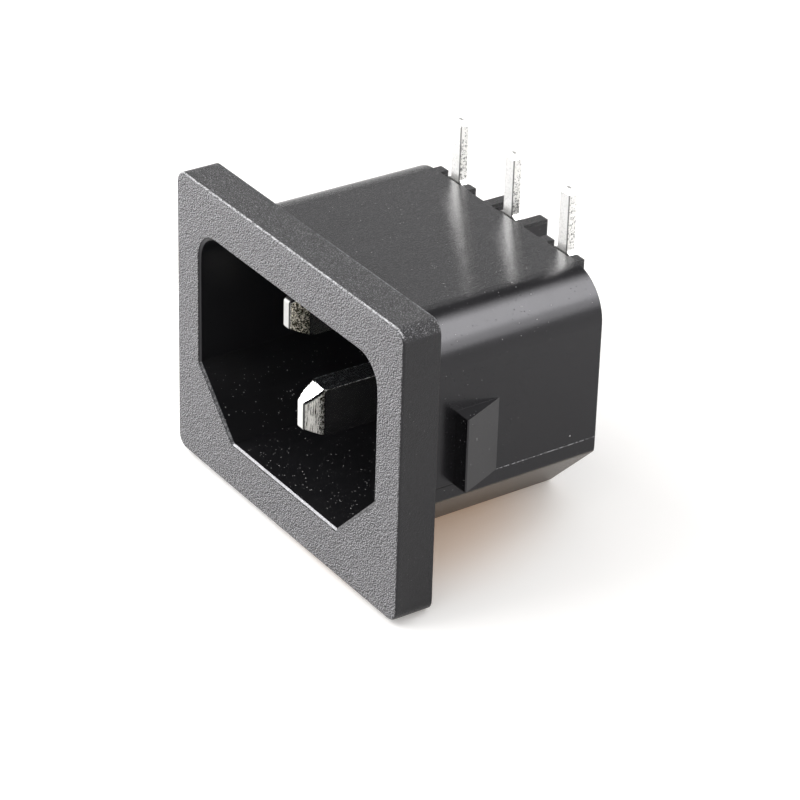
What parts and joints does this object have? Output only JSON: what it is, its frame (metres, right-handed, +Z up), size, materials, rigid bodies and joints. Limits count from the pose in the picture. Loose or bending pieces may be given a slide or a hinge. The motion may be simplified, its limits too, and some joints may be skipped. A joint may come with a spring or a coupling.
{
  "type": "panel inlet socket",
  "caption": "Snap-in panel inlet socket with a moulded housing, flat contact blades in a bevelled cavity and upright solder tails behind the rear wall.",
  "frame": {"origin": "centre of the flange's rear rim, in the plane that seats on the panel", "axes": "+Y through the panel toward the rear wall, +Z up along the solder tails, +X along the flange's long side"},
  "size_m": [0.031, 0.0221, 0.0269],
  "materials": {
    "black_plastic": "fine spark texture on the flange, semi-gloss on the body",
    "plated_brass": "bright nickel plate"
  },
  "bodies": {
    "root": {"housing": "black_plastic", "pole_terminal_left": "plated_brass", "pole_terminal_right": "plated_brass", "earth_terminal": "plated_brass"}
  },
  "joints": []
}
